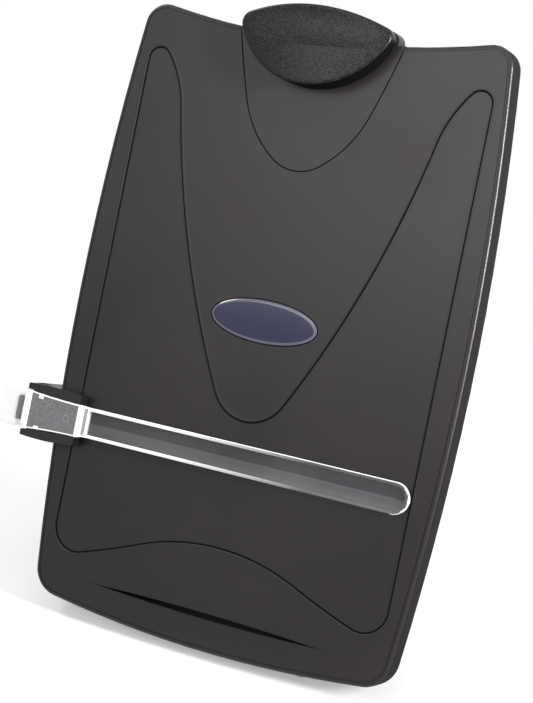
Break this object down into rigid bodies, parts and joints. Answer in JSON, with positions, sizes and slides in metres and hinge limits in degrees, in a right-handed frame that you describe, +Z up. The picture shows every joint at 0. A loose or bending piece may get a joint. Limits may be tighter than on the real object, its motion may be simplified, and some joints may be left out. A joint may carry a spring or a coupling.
{
  "type": "copy holder with line guide",
  "caption": "Leaning board for paper with a sprung clip on top, a ledge, a folding rear leg and a clear line guide that slides along its left edge.",
  "frame": {"origin": "middle of the front foot's underside, on the desk", "axes": "+Z up, +X to the reader's right, +Y away from the reader"},
  "size_m": [0.2795, 0.1699, 0.3458],
  "materials": {
    "case_charcoal": "satin moulded ABS",
    "lever_charcoal": "sand-textured ABS",
    "badge_navy": "gloss domed insert",
    "clear_acrylic": "clear and frosted polystyrene",
    "black_rubber": "matt rubber",
    "steel": "zinc plated",
    "spring_steel": "bright spring steel",
    "black_felt": "pressed felt",
    "washer_nylon": "natural nylon"
  },
  "bodies": {
    "board": {"front_panel": "case_charcoal", "back_cover": "case_charcoal", "case_screws": "steel", "badge": "badge_navy", "clip_plate": "case_charcoal", "clip_screws": "steel", "clip_pin": "steel", "clip_spring": "spring_steel", "front_foot": "black_rubber", "leg_pins": "steel", "leg_washers": "washer_nylon"},
    "clip": {"clip_lever": "lever_charcoal", "clip_jaw_pad": "black_rubber"},
    "leg": {"easel_leg": "case_charcoal", "leg_foot": "black_rubber"},
    "carriage": {"guide_carriage": "case_charcoal", "guide_backplate": "case_charcoal", "carriage_screws": "steel", "brake_pad": "black_felt", "brake_spring": "spring_steel", "arm_pin": "steel", "arm_spring": "spring_steel"},
    "arm": {"guide_arm": "clear_acrylic"}
  },
  "joints": [
    {"name": "clip_rock", "type": "hinge", "parent": "board", "child": "clip", "pos_m": [0, 0.12256, 0.32081], "axis": [1, 0, 0], "range_deg": [-12, 0], "stiffness_Nm_per_rad": 0.3, "springref_deg": 17.19, "deforming": ["clip_spring"]},
    {"name": "leg_fold", "type": "hinge", "parent": "board", "child": "leg", "pos_m": [0, 0.09493, 0.20239], "axis": [1, 0, 0], "range_deg": [-40, 0]},
    {"name": "guide_slide", "type": "slide", "parent": "board", "child": "carriage", "axis": [0, 0.4226, 0.9063], "range_m": [-0.05, 0.185]},
    {"name": "arm_lift", "type": "hinge", "parent": "carriage", "child": "arm", "pos_m": [-0.129, 0.02482, 0.1093], "axis": [0, -0.4226, -0.9063], "range_deg": [0, 10], "stiffness_Nm_per_rad": 0.1, "springref_deg": -17.19, "deforming": ["arm_spring"]}
  ]
}
